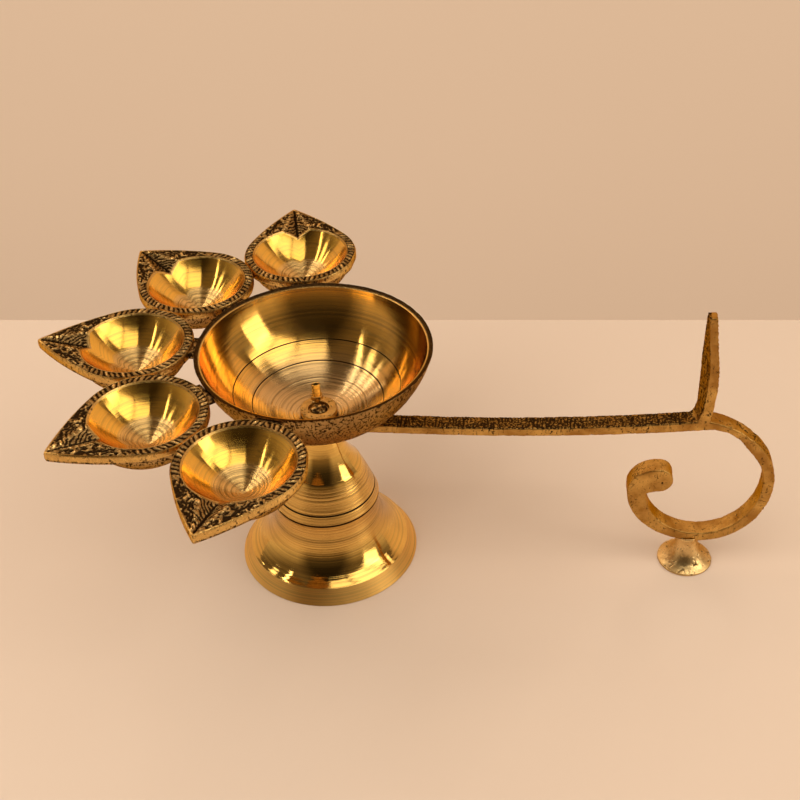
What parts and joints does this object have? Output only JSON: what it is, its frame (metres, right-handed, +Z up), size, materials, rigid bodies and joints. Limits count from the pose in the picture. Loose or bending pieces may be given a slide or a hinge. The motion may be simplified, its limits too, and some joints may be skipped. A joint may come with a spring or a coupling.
{
  "type": "aarti lamp",
  "caption": "Brass aarti lamp: a round oil bowl on a bell pedestal, ringed on one side by pointed leaf wick cups, with a long arm ending in a thumb rest and a footed scroll.",
  "frame": {"origin": "on the pedestal's axis, at floor level, midway across the ring the lamp stands on", "axes": "+X along the handle, away from the bowl; +Z up; +Y to the far side as the picture sees the lamp"},
  "size_m": [0.2861, 0.21, 0.1211],
  "materials": {
    "turned_brass": "polished, with fine turning marks",
    "antique_brass": "polished recess, dark antiqued relief on the leaf",
    "cast_brass": "as cast, pitted and worn",
    "fitting_brass": "satin"
  },
  "bodies": {
    "handle": {"handle": "cast_brass", "handle_foot": "cast_brass"},
    "bowl": {"bowl": "turned_brass", "leaf_cup_1": "antique_brass", "leaf_cup_2": "antique_brass", "leaf_cup_3": "antique_brass", "leaf_cup_4": "antique_brass", "leaf_cup_5": "antique_brass", "wick_holder": "cast_brass", "wick_tube": "fitting_brass", "stud": "fitting_brass", "rivet_washer": "fitting_brass"},
    "pedestal": {"pedestal": "turned_brass"}
  },
  "joints": [
    {"name": "bowl_turn", "type": "hinge", "parent": "handle", "child": "bowl", "pos_m": [0, 0, 0.0683], "axis": [0, 0, 1], "range_deg": [0, 4320]},
    {"name": "base_unscrew", "type": "slide", "parent": "handle", "child": "pedestal", "axis": [0, 0, -1], "range_m": [0, 0.012]}
  ],
  "couplings": [
    {"joint": "base_unscrew", "follows": "bowl_turn", "m_per_rad": 0.00015915}
  ]
}
